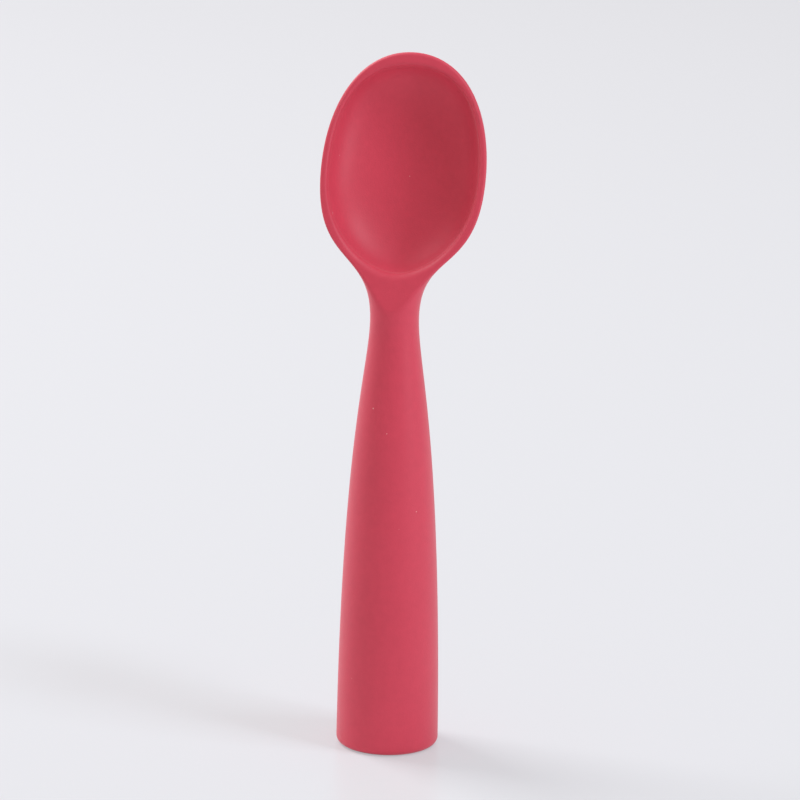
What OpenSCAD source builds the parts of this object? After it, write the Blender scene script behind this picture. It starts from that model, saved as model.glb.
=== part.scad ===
// Baby spoon that stands on the flat end of its grip: a soft over-mould on a stiff core.
// The foot's centre is the origin, +Z runs up the grip, and the dish faces -Y.

/* [Grip] */
// Height of the grip from the foot to the thinnest point of the neck
neck_h = 70; // [62:0.5:80]
// Diameter of the foot
foot_d = 16.3; // [14.5:0.1:18]
// Radius of the rounded edge round the foot
foot_round = 1; // [0.5:0.1:1.6]
// Diameter of the neck, where the grip is thinnest
neck_d = 7.7; // [7.2:0.1:9]
// Height at which the grip's swell starts to run in, as a share of the neck's height
swell_height_share = 0.74; // [0.6:0.01:0.8]
// Width of the swell there, as a share of the foot's diameter
swell_width_share = 0.966; // [0.94:0.001:1]
// Length of the straight run into the neck, as a share of the neck's height
neck_run_share = 0.115; // [0.08:0.005:0.16]

/* [Bowl] */
// Height of the bowl from the thinnest point of the neck to the tip
bowl_l = 40; // [34:0.5:46]
// Width of the bowl across its rim
bowl_w = 26.3; // [24:0.1:29]
// Place of the widest part, as a share of the bowl's height
bowl_mid_share = 0.555; // [0.5:0.005:0.6]
// Backward lean of the flat rim, in degrees
rim_lean = 24; // [20:0.5:27]
// Height above the thinnest point of the neck at which the flat rim starts on its front
crease_up = 2; // [1.4:0.1:2.6]
// How far behind the flat rim the bowl is widest
edge_back = 0.25; // [0.15:0.05:0.4]
// Thickness of the bowl's wall behind the deepest point of the dish
bowl_floor_t = 1.7; // [1.4:0.1:2.4]
// Slope of the bowl's back at its widest, as a share of the rim's slope
back_slope_share = 0.853; // [0.8:0.001:0.95]
// Thickness of the tip's rounded lip, taken straight back
lip_t = 3.2; // [2.6:0.1:3.8]

/* [Dish] */
// Depth of the dish below the rim
dish_depth = 6.6; // [6:0.1:6.9]
// Width of the rim at the two sides
rim_side_w = 1.15; // [1:0.05:1.6]
// Width of the rim at the tip
rim_tip_w = 2; // [1.6:0.1:2.6]
// Distance along the flat rim from the crease to the dish
dish_start = 6.3; // [5.8:0.1:7.5]

/* [Core] */
// Over-mould between the core and the outside at the neck
neck_skin = 1.6; // [1.3:0.05:1.8]
// Over-mould outside the core's collars
grip_skin = 2.6; // [2:0.1:3.2]
// Diameter of the core's stem at its flange
stem_d = 6.8; // [6:0.1:7.6]
// Diameter of the flange at the core's lower end
flange_d = 11.6; // [11:0.1:12]
// Thickness of the flange
flange_t = 2; // [1.4:0.1:3]
// Thickness of each locking collar
collar_t = 1.6; // [1.2:0.1:2.4]
// Width of the holes that the over-mould flows through, as a share of the flange round the stem
flow_share = 0.7; // [0.5:0.05:0.8]
// Width of the tongue's round end in the root of the bowl
tongue_w = 5.2; // [4.6:0.1:5.6]
// Width of the tongue where it leaves the stem
tongue_root_w = 3.4; // [3:0.1:3.8]
// Width of the hole in that round end, as a share of the end's own width
tongue_hole_share = 0.33; // [0.25:0.01:0.4]
// Thickness of the tongue
tongue_t = 1.8; // [1.4:0.1:2.2]
// Length of the tongue from inside the stem to the middle of its round end
tongue_l = 7.4; // [7:0.1:7.6]

/* [Base plug] */
// Diameter of the plug's head
plug_d = 6; // [5.4:0.1:6.4]
// Thickness of the plug's head
plug_t = 1.8; // [1.4:0.1:2.4]
// Diameter of the plug's stem
plug_stem_d = 3.6; // [3:0.1:4]
// Length of the plug's stem
plug_stem_l = 5; // [4:0.5:8]

/* [Hidden] */

// Counts
sides = 60;
grip_rings = 22;
root_rings = 16;
cup_rings = 17;
round_rings = 4;
dish_rings = 13;
$fn = 48;

// Extra length on every cutter
overrun = 1;

// A right angle, in degrees
quarter = 90;

foot_r = foot_d / 2;
neck_r = neck_d / 2;
bowl_r = bowl_w / 2;
tip_h = neck_h + bowl_l;
bowl_mid_h = neck_h + bowl_l * bowl_mid_share;
crease_h = neck_h + crease_up;

// Shares chosen by eye from the outline: how far each handle of a curve reaches, and smaller places
root_low_share = 0.53;
root_high_share = 0.655;
cup_side_share = 0.56;
cup_tip_share = 0.63;
back_tip_share = 0.8;
dish_foot_share = 0.32;
dish_side_share = 0.7;
dish_tip_share = 0.65;
dish_fullness = 2.1;
blend_share = 0.4;
core_top_share = 0.5;
tongue_lean_share = 0.25;

// The rim plane meets the neck's front here and leans back above it
function rim_y(z) = -neck_r + (z - crease_h) * tan(rim_lean);

// The widest line of each section runs on the grip's axis and bends over to just behind the rim plane
blend_r = neck_r * blend_share;
function edge_y(z) = rim_y(z) + edge_back;
function mid_y(z) =
    edge_y(z) < -blend_r ? 0 :
    edge_y(z) > blend_r ? edge_y(z) :
    pow(edge_y(z) + blend_r, 2) / (4 * blend_r);

// Cubic curve through a and d with the handles b and c
function cubic(a, b, c, d, t) =
    a * pow(1 - t, 3) + 3 * b * t * pow(1 - t, 2) + 3 * c * t * t * (1 - t) + d * pow(t, 3);

// A section is [height, half width, y of the widest line, y of the back, depth of the front]
function grip_height(t) = cubic(0, neck_h * swell_height_share, neck_h * (1 - neck_run_share), neck_h, t);
function grip_radius(t) = cubic(foot_r, foot_r * swell_width_share, neck_r, neck_r, t);
function grip_section(t) =
    let (z = grip_height(t), r = grip_radius(t))
    [z, r, 0, r, r];

// The bowl's back at its widest: its distance behind the grip's axis and its slope
bowl_back = rim_y(bowl_mid_h) + (dish_depth + bowl_floor_t) / cos(rim_lean);
back_slope = tan(rim_lean) * back_slope_share;

root_l = bowl_mid_h - neck_h;
function root_height(t) =
    cubic(neck_h, neck_h + root_l * root_low_share, bowl_mid_h - root_l * root_high_share, bowl_mid_h, t);
function root_section(t) =
    let (z = root_height(t))
    [
        z,
        cubic(neck_r, neck_r, bowl_r, bowl_r, t),
        mid_y(z),
        cubic(neck_r, neck_r, bowl_back - back_slope * root_l * root_high_share, bowl_back, t),
        neck_r
    ];

cup_l = tip_h - bowl_mid_h;
function cup_section(t) =
    let (z = cubic(bowl_mid_h, bowl_mid_h + cup_l * cup_side_share, tip_h, tip_h, t))
    [
        z,
        cubic(bowl_r, bowl_r, bowl_r * cup_tip_share, 0, t),
        mid_y(z),
        cubic(bowl_back, bowl_back + back_slope * cup_l * cup_side_share,
            mid_y(tip_h) + lip_t * back_tip_share, mid_y(tip_h), t),
        cubic(neck_r, neck_r, neck_r * cup_tip_share, 0, t)
    ];

// The rounded edge of the foot, as a quarter circle inside the grip's first ring
function round_section(a) =
    let (r = foot_r - foot_round * (1 - sin(a)))
    [foot_round * (1 - cos(a)), r, 0, r, r];

first_t = 0.012;
sections = concat(
    [for (i = [0 : round_rings - 1]) round_section(quarter * i / round_rings)],
    [for (i = [0 : grip_rings]) grip_section(first_t + (1 - first_t) * i / grip_rings)],
    [for (i = [1 : root_rings]) root_section(i / root_rings)],
    [for (i = [1 : cup_rings - 1]) cup_section(i / cup_rings)]
);

// Points of one section, right side first and round by the back
function ring(s) = [
    for (k = [0 : sides - 1])
        let (a = 360 * k / sides, depth = sin(a) > 0 ? s[3] - s[2] : s[4])
        [s[1] * cos(a), s[2] + depth * sin(a), s[0]]
];

// Triangles between two rings of equal count that start at points p and q
function band(p, q, n) = [
    for (k = [0 : n - 1])
        let (m = (k + 1) % n)
        each [[p + k, q + k, q + m], [p + k, q + m, p + m]]
];

// The whole outer form before the front is cut flat and the dish is sunk
module blank() {
    count = len(sections);
    tip = count * sides;
    polyhedron(
        points = concat([for (s = sections) each ring(s)], [[0, mid_y(tip_h), tip_h]]),
        faces = concat(
            [[for (k = [0 : sides - 1]) k]],
            [for (i = [0 : count - 2]) each band(i * sides, (i + 1) * sides, sides)],
            [for (k = [0 : sides - 1]) [
                (count - 1) * sides + k,
                tip,
                (count - 1) * sides + (k + 1) % sides
            ]]
        ),
        convexity = 6
    );
}

// Puts what is drawn flat on the rim plane: y runs from the crease to the tip, +z out of the front
module on_rim() {
    translate([0, -neck_r, crease_h])
        rotate([quarter - rim_lean, 0, 0])
            children();
}

// Length of the rim plane from the crease to the tip
rim_l = (tip_h - crease_h) / cos(rim_lean);

module front_cutter() {
    on_rim()
        translate([-bowl_w, -overrun, 0])
            cube([bowl_w * 2, rim_l + bowl_w, bowl_w * 2]);
}

// The dish's mouth: two cubic curves from its lower end round its widest part to the tip
dish_r = bowl_r - rim_side_w;
dish_end = rim_l - rim_tip_w;
dish_mid = (bowl_mid_h - crease_h) / cos(rim_lean);
function dish_mouth(a) =
    let (t = a <= quarter ? a / quarter : a / quarter - 1)
    a <= quarter
        ? [
            cubic(0, dish_r * dish_foot_share, dish_r, dish_r, t),
            cubic(dish_start, dish_start, dish_mid - (dish_mid - dish_start) * dish_side_share, dish_mid, t)
        ]
        : [
            cubic(dish_r, dish_r, dish_r * dish_tip_share, 0, t),
            cubic(dish_mid, dish_mid + (dish_end - dish_mid) * dish_tip_share, dish_end, dish_end, t)
        ];

// One ring of the dish: the mouth drawn in towards the deepest point
function dish_ring(in_share, depth) = [
    for (k = [0 : sides - 1])
        let (
            a = 360 * k / sides,
            p = a <= 180 ? dish_mouth(a) : dish_mouth(360 - a),
            side = a <= 180 ? -1 : 1
        )
        [side * p[0] * in_share, dish_mid + (p[1] - dish_mid) * in_share, -depth]
];

// The hollow of the bowl as a solid, with its mouth run out past the rim
module dish() {
    steps = [for (i = [0 : dish_rings - 1]) quarter * i / dish_rings];
    rings = concat(
        [dish_ring(1, -overrun)],
        [
            for (a = steps)
                dish_ring(pow(cos(a), 2 / dish_fullness), dish_depth * pow(sin(a), 2 / dish_fullness))
        ]
    );
    count = len(rings);
    floor_point = count * sides;
    on_rim()
        polyhedron(
            points = concat([for (r = rings) each r], [[0, dish_mid, -dish_depth]]),
            faces = concat(
                [[for (k = [0 : sides - 1]) k]],
                [for (i = [0 : count - 2]) each band(i * sides, (i + 1) * sides, sides)],
                [for (k = [0 : sides - 1]) [
                    (count - 1) * sides + k,
                    floor_point,
                    (count - 1) * sides + (k + 1) % sides
                ]]
            ),
            convexity = 4
        );
}

// Heights and radii of the core, worked out from the grip round it
core_base = plug_t;
core_neck_r = neck_r - neck_skin;
core_top = neck_h - neck_r * core_top_share;
collar_height_shares = [0.24, 0.42, 0.6];
function grip_t(z, low, high, n) =
    n == 0 ? low : grip_height((low + high) / 2) > z
        ? grip_t(z, low, (low + high) / 2, n - 1)
        : grip_t(z, (low + high) / 2, high, n - 1);
function collar_radius(z) = grip_radius(grip_t(z, 0, 1, 24)) - grip_skin;

// Stiff core: flange, tapered stem with locking collars, and the tongue in the bowl's root
module core_body() {
    // Stem
    rotate_extrude()
        polygon([
            [0, core_base],
            [stem_d / 2, core_base],
            [core_neck_r, neck_h * collar_height_shares[2]],
            [core_neck_r, core_top],
            [0, core_top]
        ]);
    translate([0, 0, core_base])
        cylinder(d = flange_d, h = flange_t);
    for (share = collar_height_shares)
        translate([0, 0, neck_h * share])
            cylinder(r = collar_radius(neck_h * share + collar_t), h = collar_t);
    tongue();
}

// Flat tongue that leans back a little, towards the middle of the bowl's root, and ends in a round
module tongue() {
    translate([0, 0, core_top - core_neck_r])
        rotate([quarter - rim_lean * tongue_lean_share, 0, 0])
            translate([0, 0, -tongue_t / 2])
                linear_extrude(tongue_t) {
                    translate([-tongue_root_w / 2, 0])
                        square([tongue_root_w, tongue_l]);
                    translate([0, tongue_l])
                        circle(d = tongue_w);
                }
}

module tongue_hole() {
    translate([0, 0, core_top - core_neck_r])
        rotate([quarter - rim_lean * tongue_lean_share, 0, 0])
            translate([0, tongue_l, -tongue_t])
                cylinder(d = tongue_w * tongue_hole_share, h = tongue_t * 2);
}

// Size and places of the flow holes round the flange
flow_count = 4;
flow_d = (flange_d - stem_d) / 2 * flow_share;
flow_ring_r = (flange_d / 2 + stem_d / 2) / 2;

module core() {
    color("ghostwhite")
        difference() {
            core_body();
            for (k = [0 : flow_count - 1])
                rotate(360 * k / flow_count)
                    translate([flow_ring_r, 0, core_base - overrun])
                        cylinder(d = flow_d, h = flange_t + 2 * overrun);
            tongue_hole();
            // Socket for the plug's stem
            translate([0, 0, core_base - overrun])
                cylinder(d = plug_stem_d, h = plug_stem_l + overrun);
        }
}

module over_mould() {
    color([0.78, 0.28, 0.34])
        difference() {
            blank();
            front_cutter();
            dish();
            core();
            // Round opening in the foot, where the plug's head sits
            translate([0, 0, -overrun])
                cylinder(d = plug_d, h = plug_t + overrun);
            // Socket room, so that no silicone is left inside the core
            translate([0, 0, plug_t - overrun])
                cylinder(d = plug_stem_d, h = plug_stem_l + overrun);
        }
}

module base_plug() {
    color([0.74, 0.25, 0.31]) {
        cylinder(d = plug_d, h = plug_t);
        cylinder(d = plug_stem_d, h = plug_t + plug_stem_l);
    }
}

over_mould();
core();
base_plug();
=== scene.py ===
import bpy
import math
import numpy as np
from mathutils import Matrix


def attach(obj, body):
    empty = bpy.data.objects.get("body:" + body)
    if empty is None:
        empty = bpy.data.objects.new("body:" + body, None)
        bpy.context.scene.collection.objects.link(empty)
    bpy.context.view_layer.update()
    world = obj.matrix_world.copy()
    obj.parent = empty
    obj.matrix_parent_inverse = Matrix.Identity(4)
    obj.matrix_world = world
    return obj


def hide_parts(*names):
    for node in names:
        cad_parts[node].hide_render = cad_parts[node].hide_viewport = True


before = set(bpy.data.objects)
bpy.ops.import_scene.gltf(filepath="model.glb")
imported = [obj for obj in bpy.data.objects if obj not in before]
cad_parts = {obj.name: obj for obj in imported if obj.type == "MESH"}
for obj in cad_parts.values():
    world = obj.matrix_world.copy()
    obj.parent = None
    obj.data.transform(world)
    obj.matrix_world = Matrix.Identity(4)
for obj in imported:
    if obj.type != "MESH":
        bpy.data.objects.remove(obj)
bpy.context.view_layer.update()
metres = 0.001   # the settings below are in millimetres
print("frame loaded:", sorted(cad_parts))


# shader maths

class Sock:
    # wraps one output socket, so that sums and products of sockets and numbers read as plain maths
    def __init__(self, paint, socket):
        self.paint = paint
        self.socket = socket

    def maths(self, operation, *values):
        return self.paint.node("ShaderNodeMath", {"operation": operation}, values)

    def __add__(self, other):
        return self.maths("ADD", self, other)

    def __radd__(self, other):
        return self.maths("ADD", other, self)

    def __sub__(self, other):
        return self.maths("SUBTRACT", self, other)

    def __rsub__(self, other):
        return self.maths("SUBTRACT", other, self)

    def __mul__(self, other):
        return self.maths("MULTIPLY", self, other)

    def __truediv__(self, other):
        return self.maths("DIVIDE", self, other)

    def between(self, low, high):
        # 0 below low, 1 above high, smooth in the middle
        return self.paint.node("ShaderNodeMapRange", {"interpolation_type": "SMOOTHSTEP"},
                               {"Value": self, "From Min": low, "From Max": high})


class Paint:
    # one material, or the world, and its nodes
    def __init__(self, name, world=False):
        self.material = bpy.data.worlds.new(name) if world else bpy.data.materials.new(name)
        self.material.use_nodes = True
        self.tree = self.material.node_tree
        self.tree.nodes.clear()
        self.out = self.tree.nodes.new("ShaderNodeOutputWorld" if world else "ShaderNodeOutputMaterial")
        self.place = Sock(self, self.tree.nodes.new("ShaderNodeTexCoord").outputs["Object"])

    def node(self, kind, settings=None, inputs=None, output=0):
        # makes a node of that kind, with its settings first and then the values or links of its sockets
        made = self.tree.nodes.new(kind)
        for key, value in (settings or {}).items():
            setattr(made, key, value)
        pairs = inputs.items() if isinstance(inputs, dict) else enumerate(inputs or ())
        for key, value in pairs:
            if isinstance(value, Sock):
                self.tree.links.new(value.socket, made.inputs[key])
            elif value is not None:
                made.inputs[key].default_value = value
        return Sock(self, made.outputs[output])

    def stretched(self, share):
        # the object's own coordinates, with patterns drawn out along z where the share is below 1
        return self.node("ShaderNodeMapping", {}, {"Vector": self.place, "Scale": (1, 1, share)})

    def noise(self, vector, scale, detail=2.0, roughness=0.5):
        return self.node("ShaderNodeTexNoise", {"normalize": True},
                         {"Vector": vector, "Scale": scale, "Detail": detail, "Roughness": roughness})

    def blend(self, factor, first, second):
        # colour between first and second
        return self.node("ShaderNodeMix", {"data_type": "RGBA"}, {0: factor, 6: first, 7: second}, 2)

    def bump(self, height, strength, distance, normal=None):
        return self.node("ShaderNodeBump", {}, {"Height": height, "Strength": strength,
                                                "Distance": distance, "Normal": normal})

    def shown(self):
        # 1 for the rays that show a surface: straight from the camera, mirrored or through something clear
        rays = self.tree.nodes.new("ShaderNodeLightPath")
        kinds = ("Is Camera Ray", "Is Glossy Ray", "Is Transmission Ray")
        camera, mirrored, through = (Sock(self, rays.outputs[kind]) for kind in kinds)
        return camera + mirrored + through

    def finish(self, shader):
        self.tree.links.new(shader.socket, self.out.inputs["Surface"])
        return self.material


def linear(red, green, blue):
    # the linear colour of a screen colour given from 0 to 255
    def one(value):
        share = value / 255
        return share / 12.92 if share <= 0.04045 else ((share + 0.055) / 1.055) ** 2.4
    return (one(red), one(green), one(blue), 1)


# the over-mould: bowl, neck and grip in one silicone moulding

spoon = dict(
    footR=8.14, footRound=1.0, neckR=3.85, neckZ=70.0, swellZ=0.74, swellR=0.966, neckRun=0.115,
    bowlR=13.15, midZ=92.2, tipZ=110.0, lean=math.radians(24), creaseZ=72.0,
    edgeBack=0.25, blendR=1.54, backWall=8.295, backSlope=0.853, lip=2.56,
    rootLow=0.53, rootHigh=0.655, cupSide=0.56, cupTip=0.63,
    dishDepth=6.6, rimSide=1.15, rimTip=2.0, dishStart=6.3,
    dishFoot=0.32, dishSide=0.7, dishTip=0.65, dishRound=2.1, dishWall=0.476,
    outerRound=0.4, innerRound=0.6, lowRound=1.3, roundRun=9.0, roundWeight=0.75,
    columns=240, frontDense=0.5, samples=1500,
    dishRings=56, roundRings=8, rimRings=8, fanRings=90, gripRings=76, footRings=10,
    joinZ=58.0, nearEven=0.1, nearWarp=3.5, reach=60.0, halvings=48,
    searchFrom=-6.0, searchTo=50.0, searchSteps=5601, mouthSteps=400, fineSteps=4000,
)


def cubic(a, b, c, d, t):
    # cubic curve from a to d with the handles b and c
    s = 1 - t
    return a * s ** 3 + 3 * b * s * s * t + 3 * c * s * t * t + d * t ** 3


def rimY(z, p=spoon):
    # y of the flat rim's plane at height z
    return -p["neckR"] + (z - p["creaseZ"]) * math.tan(p["lean"])


def midY(z, p=spoon):
    # y of the widest line of a section: 0 on the grip, just behind the rim plane on the bowl
    edge = rimY(z) + p["edgeBack"]
    bend = p["blendR"]
    return np.where(edge < -bend, 0, np.where(edge > bend, edge, (edge + bend) ** 2 / (4 * bend)))


def sectionTable(p=spoon):
    # rows of height, half width, y of the widest line, y of the back and depth of the front, foot to tip
    t = np.linspace(0, 1, p["samples"])
    neck, wide, tall = p["neckR"], p["bowlR"], p["tipZ"]
    backY = rimY(p["midZ"]) + p["backWall"] / math.cos(p["lean"])
    slope = math.tan(p["lean"]) * p["backSlope"]
    gripZ = cubic(0, p["neckZ"] * p["swellZ"], p["neckZ"] * (1 - p["neckRun"]), p["neckZ"], t)
    gripR = cubic(p["footR"], p["footR"] * p["swellR"], neck, neck, t)
    grip = np.stack([gripZ, gripR, 0 * t, gripR, gripR])
    rootL = p["midZ"] - p["neckZ"]
    rootZ = cubic(p["neckZ"], p["neckZ"] + rootL * p["rootLow"],
                  p["midZ"] - rootL * p["rootHigh"], p["midZ"], t)
    root = np.stack([rootZ, cubic(neck, neck, wide, wide, t), midY(rootZ),
                     cubic(neck, neck, backY - slope * rootL * p["rootHigh"], backY, t), neck + 0 * t])
    cupL = tall - p["midZ"]
    cupZ = cubic(p["midZ"], p["midZ"] + cupL * p["cupSide"], tall, tall, t)
    tipY = float(midY(tall))
    cup = np.stack([cupZ, cubic(wide, wide, wide * p["cupTip"], 0, t), midY(cupZ),
                    cubic(backY, backY + slope * cupL * p["cupSide"], tipY + p["lip"], tipY, t),
                    cubic(neck, neck, neck * p["cupTip"], 0, t)])
    return np.concatenate([grip, root[:, 1:], cup[:, 1:]], axis=1)


table = sectionTable()


def outside(point):
    # above 0 outside the blank form and below 0 inside: an ellipse at each height, (x / half width) squared
    # plus (y from the widest line / depth) squared minus 1, with one depth in front and another behind
    x, y, z = point[..., 0], point[..., 1], point[..., 2]
    wide, mid, back, front = (np.interp(z, table[0], row) for row in table[1:])
    dy = y - mid
    depth = np.maximum(np.where(dy > 0, back - mid, front), 1e-9)
    value = (x / np.maximum(wide, 1e-9)) ** 2 + (dy / depth) ** 2 - 1
    return np.where(z > table[0, -1], 1, value)


def hits(centre, direction, reach):
    # distance from each centre along its direction to the blank form's surface, by halving the interval
    low = np.zeros(direction.shape[:-1])
    high = low + reach
    for _ in range(spoon["halvings"]):
        half = (low + high) / 2
        out = outside(centre + direction * half[..., None]) > 0
        high = np.where(out, half, high)
        low = np.where(out, low, half)
    return (low + high) / 2


def columnAngles(p=spoon):
    # angle of each column from the front, closer together at the front, where the rim runs out on the neck
    turn = np.arange(p["columns"]) * 2 * math.pi / p["columns"]
    return turn - p["frontDense"] * np.sin(turn)


angles = columnAngles()
across = np.array([1.0, 0, 0])


def loopsOn(centres, fars):
    # one loop for each plane through a centre, across x and along a far direction, found as the places
    # where rays from the centre meet the blank form
    fars = fars / np.linalg.norm(fars, axis=-1, keepdims=True)
    ray = -np.cos(angles)[None, :, None] * fars[:, None, :] + np.sin(angles)[None, :, None] * across
    return centres[:, None, :] + ray * hits(centres[:, None, :], ray, spoon["reach"])[..., None]


def rimPoint(x, s, depth, p=spoon):
    # place of a point given on the rim plane: x across, s up the plane from the crease, depth behind it
    cosine, sine = math.cos(p["lean"]), math.sin(p["lean"])
    x, s, depth = np.broadcast_arrays(x, s, depth)
    y = -p["neckR"] + s * sine + depth * cosine
    z = p["creaseZ"] + s * cosine - depth * sine
    return np.stack([x, y, z], axis=-1)


def alongRim(point, p=spoon):
    # the way back: x across and s up the rim plane
    up = np.array([0, math.sin(p["lean"]), math.cos(p["lean"])])
    start = np.array([0, -p["neckR"], p["creaseZ"]])
    return point[..., 0], (point - start) @ up


def spanOn(depth, p=spoon):
    # lowest and highest s of the blank form on the plane at that depth behind the rim, along x = 0
    s = np.linspace(p["searchFrom"], p["searchTo"], p["searchSteps"])
    inside = outside(rimPoint(0 * s, s, depth)) < 0
    return s[inside].min(), s[inside].max()


def polar(x, s, middle):
    # radius of a closed outline at each column's angle round (0, middle)
    turn = np.arctan2(x, middle - s)
    order = np.argsort(turn)
    turn, radius = turn[order], np.hypot(x, s - middle)[order]
    want = (angles + math.pi) % (2 * math.pi) - math.pi
    return np.interp(want, turn, radius, period=2 * math.pi)


def offset(x, s, distance):
    # moves a closed outline outwards by a distance, along its own normals
    dx = np.roll(x, -1) - np.roll(x, 1)
    ds = np.roll(s, -1) - np.roll(s, 1)
    size = np.hypot(dx, ds)
    sign = np.sign(np.sum(x * np.roll(s, -1) - np.roll(x, -1) * s))
    return x + sign * distance * ds / size, s - sign * distance * dx / size


def edgeRound(s, p=spoon):
    # radius of the dish's edge at s: wide at its lower end, fading to narrow along the sides
    far = np.clip((s - p["dishStart"]) / p["roundRun"], 0, 1)
    return p["lowRound"] + (p["innerRound"] - p["lowRound"]) * far * far * (3 - 2 * far)


def dishMouth(p=spoon):
    # closed outline of the dish's mouth: two cubic curves from its lower end by its widest part to the tip
    lowest, highest = spanOn(0)
    wide = p["bowlR"] - p["rimSide"]
    end = (p["tipZ"] - p["creaseZ"]) / math.cos(p["lean"]) - p["rimTip"]
    start, mid = p["dishStart"], (p["midZ"] - p["creaseZ"]) / math.cos(p["lean"])
    t = np.linspace(0, 1, p["mouthSteps"])
    x = np.concatenate([cubic(0, wide * p["dishFoot"], wide, wide, t)[:-1],
                        cubic(wide, wide, wide * p["dishTip"], 0, t)])
    s = np.concatenate([cubic(start, start, mid - (mid - start) * p["dishSide"], mid, t)[:-1],
                        cubic(mid, mid + (end - mid) * p["dishTip"], end, end, t)])
    return np.concatenate([x, -x[-2:0:-1]]), np.concatenate([s, s[-2:0:-1]]), mid


def corner(first, edge, last, count, weight):
    # rings of a rounded corner from first to last, drawn towards the sharp edge by the weight
    t = np.linspace(0, 1, count)[:, None, None]
    a, b, c = (1 - t) ** 2, 2 * weight * t * (1 - t), t * t
    return (a * first + b * edge + c * last) / (a + b + c)


def circles(radius, z):
    # level rings round the grip's axis
    radius, z = np.broadcast_arrays(np.asarray(radius, float), np.asarray(z, float))
    return np.stack([radius[:, None] * np.sin(angles), -radius[:, None] * np.cos(angles),
                     np.repeat(z[:, None], len(angles), 1)], axis=-1)


def backPath(start, p=spoon):
    # points down the back from near the tip to the height where the rings turn level, evenly spaced by
    # arc length
    z = table[0][::-1]
    y = table[3][::-1]
    keep = z >= p["joinZ"]
    path = np.stack([y, z], axis=-1)[keep]
    ahead = (path - start) @ np.array([math.cos(p["lean"]), -math.sin(p["lean"])]) > 0
    path = np.concatenate([[start], path[ahead]])
    run = np.concatenate([[0], np.cumsum(np.linalg.norm(np.diff(path, axis=0), axis=1))])
    share = np.linspace(0, run[-1], p["fanRings"] + 1)
    return np.stack([np.interp(share, run, path[:, 0]), np.interp(share, run, path[:, 1])], axis=-1)


def outerSkin(p=spoon):
    # all visible rings, from the deepest point of the dish over the rim and down the outside to the foot
    mouthX, mouthS, dishMid = dishMouth()
    low, high = spanOn(p["outerRound"])
    middle = (low + high) / 2

    # dish: the mouth drawn in towards the deepest point, deeper by a power of what is left of the way in
    mouthR = polar(mouthX, mouthS, middle)
    x0, s0 = mouthR * np.sin(angles), middle - mouthR * np.cos(angles)
    edgeShare = (1 - (edgeRound(s0) / p["dishDepth"]) ** (1 / p["dishWall"])) ** (1 / p["dishRound"])
    drawn = np.sin(np.linspace(0, np.arcsin(edgeShare), p["dishRings"] + 1)[1:])
    sunk = p["dishDepth"] * (1 - drawn ** p["dishRound"]) ** p["dishWall"]
    dish = rimPoint(drawn * x0, dishMid + drawn * (s0 - dishMid), sunk)

    # inner edge of the rim
    outX, outS = offset(mouthX, mouthS, edgeRound(mouthS))
    innerR = polar(outX, outS, middle)
    inner = rimPoint(innerR * np.sin(angles), middle - innerR * np.cos(angles), 0)
    innerEdge = corner(dish[-1], rimPoint(x0, s0, 0), inner, p["roundRings"], p["roundWeight"])

    # outer edge of the rim
    up = np.array([0, math.sin(p["lean"]), math.cos(p["lean"])])
    centres = rimPoint(np.zeros(2), np.full(2, middle), np.array([0, p["outerRound"]]))
    edge, behind = loopsOn(centres, np.array([up, up]))
    fineTurn = np.linspace(0, 2 * math.pi, p["fineSteps"], endpoint=False)
    ray = -np.cos(fineTurn)[:, None] * up + np.sin(fineTurn)[:, None] * across
    fineX, fineS = alongRim(centres[0] + ray * hits(centres[0], ray, p["reach"])[:, None])
    inX, inS = offset(fineX, fineS, -p["outerRound"])
    outerR = polar(inX, inS, middle)
    outer = rimPoint(outerR * np.sin(angles), middle - outerR * np.cos(angles), 0)
    outerEdge = corner(outer, edge, behind, p["roundRings"], p["roundWeight"])

    # flat rim between them
    share = np.linspace(0, 1, p["rimRings"] + 2)[1:-1, None, None]
    flat = inner + (outer - inner) * share

    # fan of loops from just behind the rim to level
    start = rimPoint(0.0, high, p["outerRound"])[1:]
    far = backPath(start)
    nearStart = rimPoint(0.0, low, p["outerRound"])
    step = np.linspace(0, 1, p["fanRings"] + 1)
    way = p["nearEven"] * step + (1 - p["nearEven"]) * step ** p["nearWarp"]
    nearZ = nearStart[2] + (p["joinZ"] - nearStart[2]) * way
    nearY = midY(nearZ) - np.interp(nearZ, table[0], table[4])
    nearY[0] = nearStart[1]
    near3 = np.stack([0 * nearY, nearY, nearZ], axis=-1)
    far3 = np.stack([0 * nearY, far[:, 0], far[:, 1]], axis=-1)
    fan = loopsOn((near3 + far3)[1:] / 2, (far3 - near3)[1:])

    # grip and foot
    gripZ = np.linspace(p["joinZ"], p["footRound"], p["gripRings"] + 1)[1:]
    grip = circles(np.interp(gripZ, table[0], table[1]), gripZ)
    turn = np.linspace(0, math.pi / 2, p["footRings"] + 1)[1:]
    footZ = p["footRound"] * (1 - np.sin(turn))
    foot = circles(np.interp(footZ, table[0], table[1]) - p["footRound"] * (1 - np.cos(turn)), footZ)
    pole = rimPoint(0.0, dishMid, p["dishDepth"])
    return pole, np.concatenate([dish, innerEdge[1:], flat, outerEdge, fan, grip, foot])


# inside of the over-mould: the plug's opening and the space that the core fills

cavity = dict(
    plugR=3.0, plugT=1.8, openRound=0.18, flangeR=5.8, flangeT=2.0, stemR=3.4, collarT=1.6,
    collars=(0.24, 0.42, 0.6), gripSkin=2.6, neckSkin=1.6, topDrop=0.5,
    tongueRoot=1.7, tongueEnd=2.6, tongueHalf=0.9, tongueL=7.4, tongueLean=math.radians(6),
    square=10.0, faceShares=(0.8, 0.5, 0.2), openSteps=5,
    tongueLift=0.05, tongueFrom=3.0, tongueStop=0.02, tongueRings=22,
)


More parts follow.
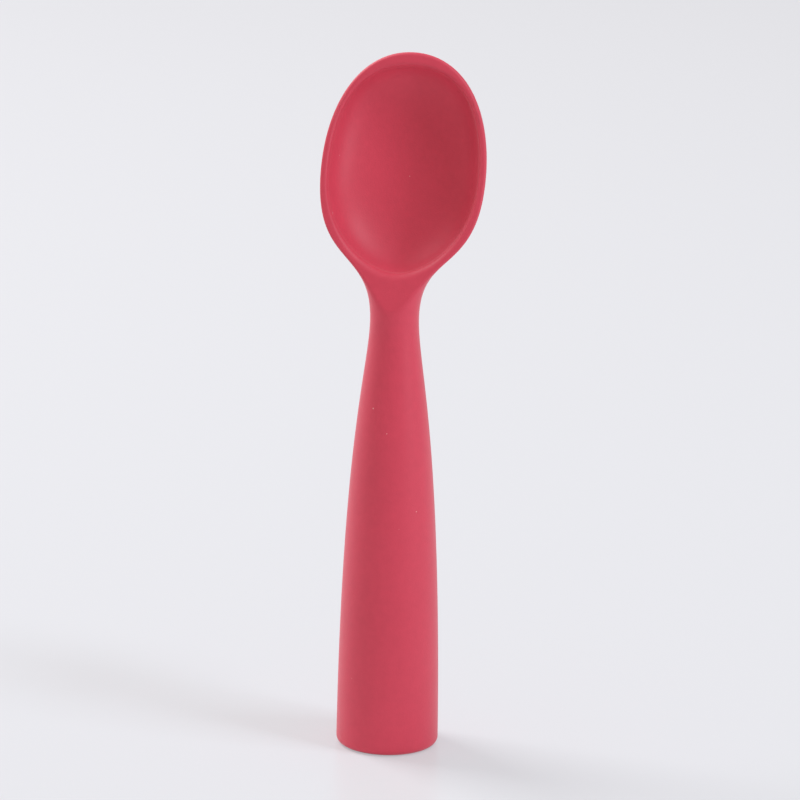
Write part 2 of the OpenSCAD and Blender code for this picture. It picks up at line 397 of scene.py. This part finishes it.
def innerSkin(p=spoon, q=cavity):
    # rings from the foot's face into the opening and up the core's outside to the end of its tongue
    neckR = p["neckR"] - q["neckSkin"]
    stemTop = p["neckZ"] * q["collars"][-1]

    def gripR(z):
        # radius of the grip's outside at height z
        return float(np.interp(z, table[0], table[1]))

    def stemR(z):
        # radius of the core's stem, which narrows evenly from the plug to the highest collar
        share = min((z - q["plugT"]) / (stemTop - q["plugT"]), 1)
        return q["stemR"] + (neckR - q["stemR"]) * share

    flat = p["footR"] - p["footRound"] - q["plugR"]
    edge = q["openRound"]
    turn = np.linspace(0, math.pi / 2, q["openSteps"])
    rings = [(q["plugR"] + flat * share, 0) for share in q["faceShares"]]
    rings += [(q["plugR"] + edge * (1 - math.sin(a)), edge * (1 - math.cos(a))) for a in turn]
    rings += [(q["plugR"], q["plugT"]), (q["flangeR"], q["plugT"])]
    top = q["plugT"] + q["flangeT"]
    rings += [(q["flangeR"], top), (stemR(top), top)]
    for share in q["collars"]:
        low = p["neckZ"] * share
        high = low + q["collarT"]
        wide = gripR(high) - q["gripSkin"]
        rings += [(stemR(low), low), (wide, low), (wide, high), (stemR(high), high)]
    top = p["neckZ"] - p["neckR"] * q["topDrop"]
    rings += [(neckR, top)]
    radius, z = np.array(rings).T
    body = circles(radius, z)

    # tongue: near-square loops along its leaning axis
    lean = q["tongueLean"]
    along = np.array([0, math.sin(lean), math.cos(lean)])
    through = np.array([0, math.cos(lean), -math.sin(lean)])
    base = np.array([0, 0, top - neckR])
    end = q["tongueL"] + q["tongueEnd"]
    run = np.concatenate([[neckR / math.cos(lean) + q["tongueLift"]],
                          np.linspace(q["tongueFrom"], end - q["tongueStop"], q["tongueRings"])])
    bulge = np.sqrt(np.maximum(q["tongueEnd"] ** 2 - (run - q["tongueL"]) ** 2, 0))
    half = np.where(run < q["tongueL"], np.maximum(bulge, q["tongueRoot"]), bulge)
    squareX = np.sign(np.sin(angles)) * np.abs(np.sin(angles)) ** (2 / q["square"])
    squareY = -np.sign(np.cos(angles)) * np.abs(np.cos(angles)) ** (2 / q["square"])
    tongue = (base + along * run[:, None, None] + across * (half[:, None, None] * squareX[:, None])
              + through * (q["tongueHalf"] * squareY[:, None]))
    return np.concatenate([body, tongue]), base + along * end


def closedMesh(name, rings, firstPole, lastPole):
    # mesh of a stack of closed rings with a pole at each end; the faces are turned outwards by the sign of
    # the volume that they enclose, summed over tetrahedra from the origin
    count, columns = rings.shape[:2]
    points = np.concatenate([rings.reshape(-1, 3), [firstPole], [lastPole]]) * metres
    k = np.arange(columns)
    nextK = (k + 1) % columns
    row = (np.arange(count - 1) * columns)[:, None]
    above = row + columns
    quads = np.stack([row + k, row + nextK, above + nextK, above + k], axis=-1).reshape(-1, 4)
    first, last = count * columns, count * columns + 1
    base = (count - 1) * columns
    caps = np.concatenate([np.stack([np.full(columns, first), nextK, k], axis=-1),
                           np.stack([np.full(columns, last), base + k, base + nextK], axis=-1)])
    a, b, c = points[quads[:, 0]], points[quads[:, 1]], points[quads[:, 2]]
    d = points[quads[:, 3]]
    volume = np.sum(a * np.cross(b, c)) + np.sum(a * np.cross(c, d))
    if volume < 0:
        quads, caps = quads[:, ::-1], caps[:, ::-1]
    mesh = bpy.data.meshes.new(name)
    mesh.from_pydata(points.tolist(), [], quads.tolist() + caps.tolist())
    mesh.validate()
    mesh.polygons.foreach_set("use_smooth", np.ones(len(mesh.polygons), bool))
    mesh.update()
    made = bpy.data.objects.new(name, mesh)
    bpy.context.scene.collection.objects.link(made)
    print(name, "faces:", len(mesh.polygons), "volume cm3:", round(abs(volume) / 6 * 1e6, 2))
    return made


dishPole, skin = outerSkin()
inside, tonguePole = innerSkin()
overMould = closedMesh("spoonSkin", np.concatenate([skin, inside]), dishPole, tonguePole)


# the plug: a soft round head that closes the foot, with its gate mark, on a stem

plug = dict(
    headR=2.96, headT=1.8, headRound=0.22, stemR=1.8, stemL=5.0, stemRound=0.4,
    hollowR=1.15, hollow=0.22, gateR=0.42, gate=0.1, gateDraft=1.12, gateFoot=1.3,
    gateShares=(0.35, 0.75), faceShares=(0.15, 0.4, 0.7, 0.9), stemShares=(0.3, 0.6, 0.85),
    sideShare=0.6, edgeGap=0.02, edgeCut=0.08, fillet=0.15, steps=7,
)


def plugSkin(p=plug):
    # rings from the middle of the head's face, over its gate mark and hollow, round its edge and up the stem;
    # the hollow rises from the face by a cube of the way in, and the edges are quarter circles
    turn = np.linspace(0, math.pi / 2, p["steps"])
    rise = (1 - np.cos(np.linspace(0, math.pi, p["steps"]))) / 2
    gateZ = p["hollow"] - p["gate"]
    gateWide, gateFoot = p["gateR"] * p["gateDraft"], p["gateR"] * p["gateFoot"]
    rings = [(p["gateR"] * share, gateZ) for share in p["gateShares"]]
    rings += [(p["gateR"] + (gateWide - p["gateR"]) * t, gateZ + p["gate"] * t) for t in rise]
    rings += [(gateFoot + (p["hollowR"] - gateFoot) * t, p["hollow"] * (1 - t ** 3)) for t in rise]
    flatR, edge = p["headR"] - p["headRound"], p["headRound"]
    rings += [(p["hollowR"] + (flatR - p["hollowR"]) * share, 0) for share in p["faceShares"]]
    rings += [(p["headR"] - edge * (1 - math.sin(a)), edge * (1 - math.cos(a))) for a in turn]
    rings += [(p["headR"], p["headT"] * p["sideShare"]), (p["headR"], p["headT"] - p["edgeGap"])]
    rings += [(p["headR"] - p["edgeCut"], p["headT"])]
    rings += [(p["stemR"] + p["fillet"], p["headT"]), (p["stemR"], p["headT"] + p["fillet"])]
    top, tip = p["headT"] + p["stemL"], p["stemRound"]
    rings += [(p["stemR"], p["headT"] + p["stemL"] * share) for share in p["stemShares"]]
    rings += [(p["stemR"] - tip * (1 - math.cos(a)), top - tip * (1 - math.sin(a))) for a in turn]
    radius, z = np.array(rings).T
    return circles(radius, z), np.array([0, 0, gateZ]), np.array([0, 0, top])


plugRings, plugFace, plugTop = plugSkin()
basePlug = closedMesh("footPlug", plugRings, plugFace, plugTop)


# finishes

silicone = dict(
    colour=(0.63, 0.053, 0.096), cloud=0.05, cloudSize=16, mottle=0.06, mottleSize=1.3,
    roughness=0.47, roughSpread=0.1, smearSize=9, smearStretch=0.4, specular=0.32,
    sheen=0.2, sheenTint=(1, 0.72, 0.76, 1), sheenRough=0.45,
    grainSize=0.22, grainDepth=0.02, waveSize=4.5, waveDepth=0.03,
    dustSpacing=1.2, dustShare=0.07, dustSize=0.13, dust=(0.86, 0.6, 0.6, 1), dustStrength=0.55,
    dustEdge=(0.6, 1.2), dustFade=0.95, dustRough=0.2, dustLeast=0.0001,
)


def perMetre(size):
    # pattern scale, in repeats per metre, that gives features of a size in millimetres
    return 1 / (size * metres)


def siliconePaint(name, p=silicone):
    # matte moulded silicone: cloudy pigment, fine matte grain, uneven sheen and a few specks of pale dust
    paint = Paint(name)
    place = paint.place
    cloud = paint.noise(place, perMetre(p["cloudSize"]), 2.0)
    mottle = paint.noise(place, perMetre(p["mottleSize"]), 3.0, 0.6)
    deep = tuple(c * (1 - p["cloud"] - p["mottle"]) for c in p["colour"]) + (1,)
    pale = tuple(c * (1 + p["cloud"] + p["mottle"]) for c in p["colour"]) + (1,)
    pigmentShare = (cloud * p["cloud"] + mottle * p["mottle"]) / (p["cloud"] + p["mottle"])
    pigment = paint.blend(pigmentShare, deep, pale)

    # dust: one cell in a few holds a speck, where its random value is under the share, which also sets
    # its size
    cells = {"Vector": place, "Scale": perMetre(p["dustSpacing"]), "Randomness": 1.0}
    near = paint.node("ShaderNodeTexVoronoi", {"feature": "F1"}, cells, "Distance")
    lot = paint.node("ShaderNodeSeparateColor", {}, {"Color": paint.node(
        "ShaderNodeTexVoronoi", {"feature": "F1"}, cells, "Color")})
    radius = lot * (p["dustSize"] / p["dustSpacing"] / p["dustShare"])
    speck = 1 - (near / (radius + p["dustLeast"])).between(*p["dustEdge"])
    chosen = 1 - lot.between(p["dustShare"] * p["dustFade"], p["dustShare"])
    dusty = speck * chosen * p["dustStrength"]
    colour = paint.blend(dusty, pigment, p["dust"])

    smear = paint.noise(paint.stretched(p["smearStretch"]), perMetre(p["smearSize"]), 3.0, 0.55)
    roughness = p["roughness"] + (smear - 0.5) * p["roughSpread"] + dusty * p["dustRough"]
    wave = paint.noise(place, perMetre(p["waveSize"]), 1.0)
    grain = paint.noise(place, perMetre(p["grainSize"]), 2.0, 0.6)
    soft = paint.bump(wave, 1.0, p["waveDepth"] * metres)
    normal = paint.bump(grain, 1.0, p["grainDepth"] * metres, soft)
    return paint.finish(paint.node("ShaderNodeBsdfPrincipled", {}, {
        "Base Color": colour, "Roughness": roughness, "Specular IOR Level": p["specular"], "Normal": normal,
        "Sheen Weight": p["sheen"], "Sheen Roughness": p["sheenRough"], "Sheen Tint": p["sheenTint"]}))


plastic = dict(
    deep=(0.66, 0.62, 0.52, 1), pale=(0.84, 0.81, 0.74, 1), flowSize=2.2, flowStretch=0.12,
    flowShare=0.7, flowTwist=0.4, bendTimes=4, milk=(0.3, 0.7), roughness=0.42, roughSpread=0.16,
    hazeSize=3.0, specular=0.5, scatter=0.1, scatterScale=0.0015,
    sparkSize=0.12, sparkDepth=0.01, flowDepth=0.02,
)


def plasticPaint(name, p=plastic):
    # natural moulded plastic: milky, with faint flow lines along the part and a fine spark-eroded grain
    paint = Paint(name)
    along = paint.stretched(p["flowStretch"])
    bend = paint.noise(along, perMetre(p["flowSize"] * p["bendTimes"]), 1.0)
    flow = paint.node("ShaderNodeTexNoise", {"normalize": True}, {
        "Vector": along, "Scale": perMetre(p["flowSize"]), "Detail": 4.0, "Roughness": 0.6,
        "Distortion": p["flowTwist"]})
    milky = (flow * p["flowShare"] + bend * (1 - p["flowShare"])).between(*p["milk"])
    haze = paint.noise(paint.place, perMetre(p["hazeSize"]), 3.0, 0.6)
    grain = paint.noise(paint.place, perMetre(p["sparkSize"]), 2.0)
    soft = paint.bump(flow, 1.0, p["flowDepth"] * metres)
    return paint.finish(paint.node("ShaderNodeBsdfPrincipled", {}, {
        "Base Color": paint.blend(milky, p["deep"], p["pale"]),
        "Roughness": p["roughness"] + (haze - 0.5) * p["roughSpread"], "Specular IOR Level": p["specular"],
        "Subsurface Weight": p["scatter"], "Subsurface Scale": p["scatterScale"],
        "Normal": paint.bump(grain, 1.0, p["sparkDepth"] * metres, soft)}))


def repaint(node, material):
    # gives a CAD node's object a material in each of its slots
    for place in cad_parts[node].material_slots:
        place.material = material
    print(node, "painted with", material.name)


overMould.data.materials.append(siliconePaint("coralSilicone"))
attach(overMould, "root")
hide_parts("over_mould")

plugSilicone = dict(silicone, colour=(0.585, 0.049, 0.09), roughness=0.55, cloudSize=5, waveSize=2.5)
basePlug.data.materials.append(siliconePaint("plugSilicone", plugSilicone))
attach(basePlug, "root")
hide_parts("base_plug")
repaint("core", plasticPaint("corePlastic"))


# floor, light and camera

stageSet = dict(
    colour=linear(235, 237, 243), half=3.0, gap=0.05, glow=0.474, shade=0.43,
    gloss=0.08, glossRough=0.28,
)


def makeFloor(p=stageSet):
    # a flat pale floor, just under the foot: other rays meet plain pale paper, and the rays that show it
    # meet a share of that paper's shade, with the spoon's shadow, plus an even glow and a faint reflection
    half = p["half"]
    mesh = bpy.data.meshes.new("floor")
    low = -p["gap"] * metres
    corners = [(-half, -half, low), (half, -half, low), (half, half, low), (-half, half, low)]
    mesh.from_pydata(corners, [], [(0, 1, 2, 3)])
    floor = bpy.data.objects.new("floor", mesh)
    bpy.context.scene.collection.objects.link(floor)
    paint = Paint("paleFloor")
    paper = paint.node("ShaderNodeBsdfDiffuse", {}, {"Color": p["colour"]})
    darker = tuple(c * p["shade"] for c in p["colour"][:3]) + (1,)
    shade = paint.node("ShaderNodeBsdfDiffuse", {}, {"Color": darker})
    glow = paint.node("ShaderNodeEmission", {}, {"Color": p["colour"], "Strength": p["glow"]})
    seen = paint.node("ShaderNodeAddShader", {}, {0: shade, 1: glow})
    gloss = paint.node("ShaderNodeBsdfGlossy", {}, {"Color": p["colour"], "Roughness": p["glossRough"]})
    seen = paint.node("ShaderNodeMixShader", {}, {0: p["gloss"], 1: seen, 2: gloss})
    paint.finish(paint.node("ShaderNodeMixShader", {}, {0: paint.shown(), 1: paper, 2: seen}))
    mesh.materials.append(paint.material)


makeFloor()

# softboxes: azimuth from the front towards the right and elevation in degrees, distance and size in
# metres, watts and colour
lamps = dict(
    key=(68, 15, 1.1, (0.2, 0.2), 2.75, (0.84, 0.94, 1)),
    left=(-74, 10, 1.1, (0.2, 0.2), 0.2, (1, 0.95, 0.94)),
    leftBack=(-98, 14, 1.1, (0.35, 0.35), 0.5, (1, 0.97, 0.96)),
    right=(78, 60, 1.1, (0.28, 0.28), 3.9, (0.84, 0.94, 1)),
    leftTop=(-117, 46, 1.1, (0.5, 0.5), 8.0, (1, 1, 1)),
)
room = dict(colour=(1, 0.86, 0.75, 1), strength=0.5, seen=linear(234, 234, 239))
lampAim = np.array([0, 0, 0.055])


def placed(right, up, back, place):
    # matrix of an object whose own axes are right, up and back
    rows = np.stack([right, up, back, place], 1)
    return Matrix([*rows.tolist(), (0, 0, 0, 1)])


def makeLamp(name, azimuth, elevation, distance, size, power, colour):
    # a rectangle that faces the spoon from its place on a sphere round it
    data = bpy.data.lights.new(name, "AREA")
    data.shape = "RECTANGLE"
    data.size, data.size_y = size
    data.energy = power
    data.color = colour
    made = bpy.data.objects.new(name, data)
    bpy.context.scene.collection.objects.link(made)
    turn, rise = math.radians(azimuth), math.radians(elevation)
    back = np.array([math.sin(turn) * math.cos(rise), -math.cos(turn) * math.cos(rise), math.sin(rise)])
    right = np.cross([0, 0, 1], back)
    right /= np.linalg.norm(right)
    made.matrix_world = placed(right, np.cross(back, right), back, lampAim + distance * back)


for lampName, lampSet in lamps.items():
    makeLamp(lampName, *lampSet)

studio = Paint("studio", world=True)
ambient = studio.node("ShaderNodeBackground", {}, {"Color": room["colour"], "Strength": room["strength"]})
backdrop = studio.node("ShaderNodeBackground", {}, {"Color": room["seen"]})
bpy.context.scene.world = studio.finish(
    studio.node("ShaderNodeMixShader", {}, {0: studio.shown(), 1: ambient, 2: backdrop}))
print("stage and lamps made:", len(lamps))

view = dict(
    azimuth=math.radians(9.6), elevation=math.radians(19.25), distance=900.0,
    aim=(1.08, 0.17, 56.78), roll=math.radians(1.06), lens=251.7, sensor=36, nearest=0.01,
)


def makeCamera(p=view):
    # the camera stands at a distance from the foot, looks at a point of the spoon and is rolled a little
    data = bpy.data.cameras.new("photoView")
    made = bpy.data.objects.new("photoView", data)
    bpy.context.scene.collection.objects.link(made)
    place = p["distance"] * np.array([math.sin(p["azimuth"]) * math.cos(p["elevation"]),
                                      -math.cos(p["azimuth"]) * math.cos(p["elevation"]),
                                      math.sin(p["elevation"])])
    back = place - np.array(p["aim"])
    back /= np.linalg.norm(back)
    right = np.cross([0, 0, 1], back)
    right /= np.linalg.norm(right)
    up = np.cross(back, right)
    cosine, sine = math.cos(p["roll"]), math.sin(p["roll"])
    made.matrix_world = placed(right * cosine + up * sine, up * cosine - right * sine, back, place * metres)
    data.lens = p["lens"]
    data.sensor_width = p["sensor"]
    data.clip_start = p["nearest"]
    data.dof.use_dof = False
    bpy.context.scene.camera = made


makeCamera()
bpy.context.scene.view_settings.view_transform = "Standard"
